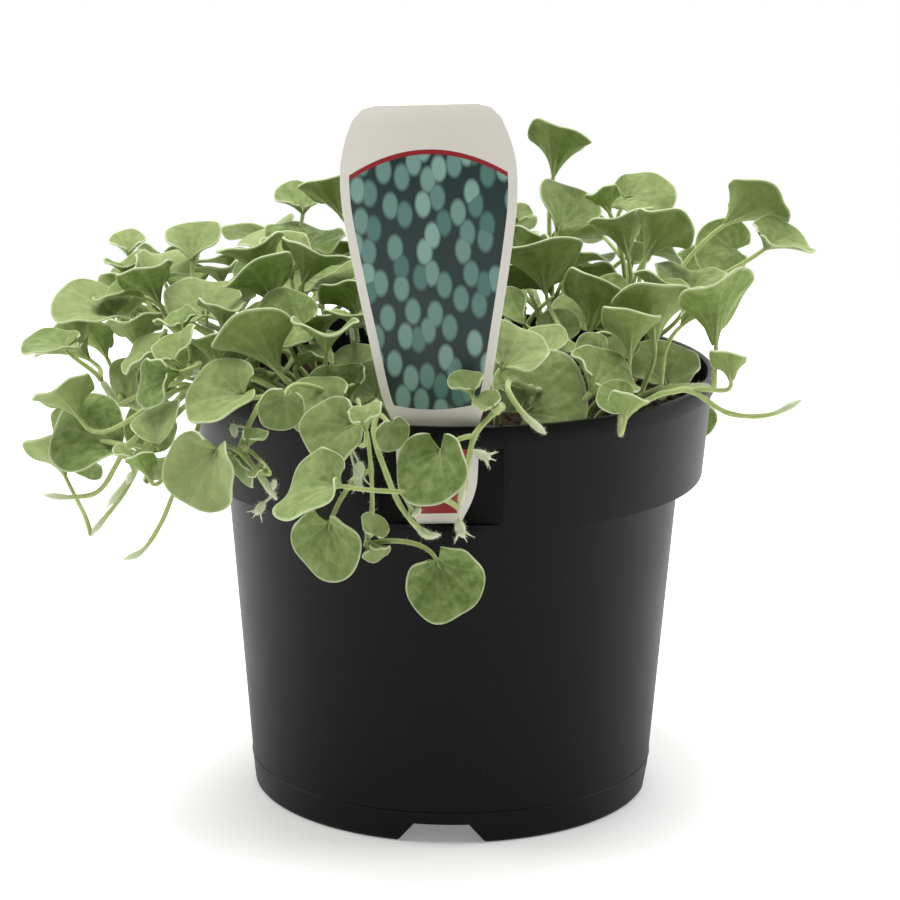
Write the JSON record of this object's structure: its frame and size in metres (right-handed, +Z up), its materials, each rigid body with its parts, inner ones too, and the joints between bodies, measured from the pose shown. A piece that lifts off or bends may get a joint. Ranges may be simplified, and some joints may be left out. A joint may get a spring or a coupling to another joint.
{
  "type": "potted silver falls dichondra",
  "caption": "Trailing silver-leaved dichondra growing in soil in a round black nursery pot with a blank picture label pushed in at the front.",
  "frame": {"origin": "middle of the pot's underside, on the surface that it stands on", "axes": "+Z up along the pot's axis, -Y to the front where the label is, +X to the right seen from the front"},
  "size_m": [0.2081, 0.2066, 0.1966],
  "materials": {
    "pot": "black injection-moulded polypropylene, satin",
    "soil": "loose dark potting mix of bark and peat crumbs",
    "label": "printed off-white plastic card, soft sheen",
    "foliage": "living leaves and stems under silver-white felt of fine hairs"
  },
  "bodies": {
    "root": {"pot": "pot", "soil": "soil", "label": "label", "stem_far_left_upper": "foliage", "stem_far_left_lower": "foliage", "stem_hanging_left_a": "foliage", "stem_hanging_left_b": "foliage", "stem_hanging_left_c": "foliage", "stem_hanging_left_d": "foliage", "stem_front_left": "foliage", "stem_front_middle": "foliage", "stem_front_thin": "foliage", "stem_front_bright": "foliage", "stem_front_label": "foliage", "stem_upper_left": "foliage", "stem_left_middle": "foliage", "stem_inner_left_a": "foliage", "stem_inner_left_b": "foliage", "stem_inner_left_c": "foliage", "stem_back_left": "foliage", "stem_left_of_label": "foliage", "stem_back_right": "foliage", "stem_right_tall": "foliage", "stem_right_spreading": "foliage", "stem_right_rim": "foliage", "stem_right_runner": "foliage", "stem_right_front": "foliage", "stem_right_middle": "foliage", "stem_right_inner": "foliage", "stem_right_low": "foliage", "stem_back_far_left": "foliage", "stem_back_mid_left": "foliage", "stem_back_middle": "foliage", "stem_back_mid_right": "foliage", "stem_back_far_right": "foliage", "stem_crown_left": "foliage", "stem_crown_middle": "foliage", "stem_crown_right": "foliage"}
  },
  "joints": []
}
